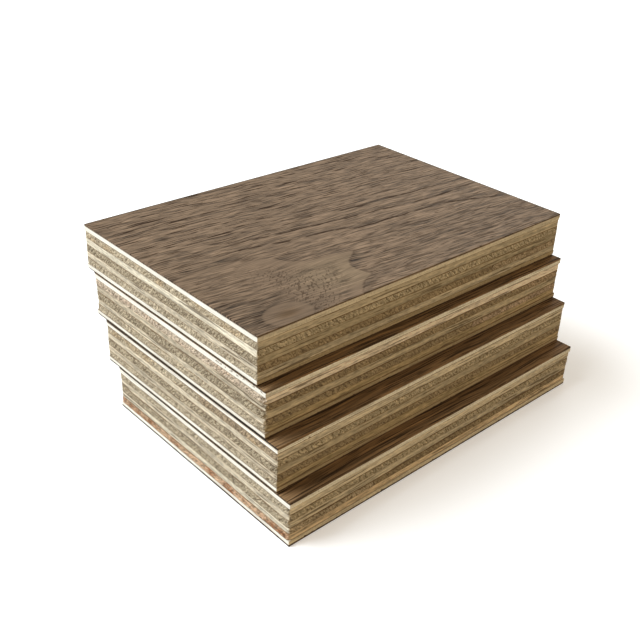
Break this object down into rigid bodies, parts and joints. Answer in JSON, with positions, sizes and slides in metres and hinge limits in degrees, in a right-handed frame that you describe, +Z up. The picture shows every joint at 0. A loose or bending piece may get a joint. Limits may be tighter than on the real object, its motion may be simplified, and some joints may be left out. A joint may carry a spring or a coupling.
{
  "type": "stack of plywood sheets",
  "caption": "Stack of small rectangular veneered plywood sheets, laid flat and stepped a little, with crossed plies showing on the sawn edges.",
  "frame": {"origin": "centre of the underside of the lowest sheet", "axes": "+X along the sheets' long edges, +Z up through the stack, +Y the way the upper sheets are set back"},
  "size_m": [0.1529, 0.1168, 0.072],
  "materials": {
    "walnut_veneer": "bare walnut face veneer, fine sanded, matt",
    "pale_crossband": "pale softwood-like crossband veneer, sawn edge, matt",
    "core_lengthwise": "core veneer with its grain along the sheet, sawn edge, matt",
    "core_crosswise": "core veneer with its grain across the sheet, sawn edge, matt",
    "core_reddish": "red-brown core veneer with its grain along the sheet, sawn edge, matt",
    "core_pinkish": "pinkish pale core veneer with its grain along the sheet, sawn edge, matt"
  },
  "bodies": {
    "root": {"bottom_sheet_back_veneer": "walnut_veneer", "bottom_sheet_lower_crossband": "pale_crossband", "bottom_sheet_core_ply_1": "core_reddish", "bottom_sheet_core_ply_2_strip_1": "core_crosswise", "bottom_sheet_core_ply_2_strip_2": "core_crosswise", "bottom_sheet_core_ply_3_strip_1": "core_lengthwise", "bottom_sheet_core_ply_3_strip_2": "core_lengthwise", "bottom_sheet_core_ply_4": "core_crosswise", "bottom_sheet_core_ply_5": "core_lengthwise", "bottom_sheet_upper_crossband": "pale_crossband", "bottom_sheet_face_veneer": "walnut_veneer", "third_sheet_back_veneer": "walnut_veneer", "third_sheet_lower_crossband": "pale_crossband", "third_sheet_core_ply_1": "core_lengthwise", "third_sheet_core_ply_2": "core_crosswise", "third_sheet_core_ply_3": "core_lengthwise", "third_sheet_core_ply_4": "core_crosswise", "third_sheet_core_ply_5_strip_1": "core_lengthwise", "third_sheet_core_ply_5_strip_2": "core_lengthwise", "third_sheet_upper_crossband": "pale_crossband", "third_sheet_face_veneer": "walnut_veneer", "second_sheet_back_veneer": "walnut_veneer", "second_sheet_lower_crossband": "pale_crossband", "second_sheet_core_ply_1": "core_lengthwise", "second_sheet_core_ply_2_strip_1": "core_crosswise", "second_sheet_core_ply_2_strip_2": "core_crosswise", "second_sheet_core_ply_3": "core_lengthwise", "second_sheet_core_ply_4_strip_1": "core_crosswise", "second_sheet_core_ply_4_strip_2": "core_crosswise", "second_sheet_core_ply_5": "core_pinkish", "second_sheet_upper_crossband": "pale_crossband", "second_sheet_face_veneer": "walnut_veneer", "top_sheet_back_veneer": "walnut_veneer", "top_sheet_lower_crossband": "pale_crossband", "top_sheet_core_ply_1": "core_lengthwise", "top_sheet_core_ply_2_strip_1": "core_crosswise", "top_sheet_core_ply_2_strip_2": "core_crosswise", "top_sheet_core_ply_3": "core_lengthwise", "top_sheet_core_ply_4": "core_crosswise", "top_sheet_core_ply_5": "core_lengthwise", "top_sheet_upper_crossband": "pale_crossband", "top_sheet_face_veneer": "walnut_veneer"}
  },
  "joints": []
}
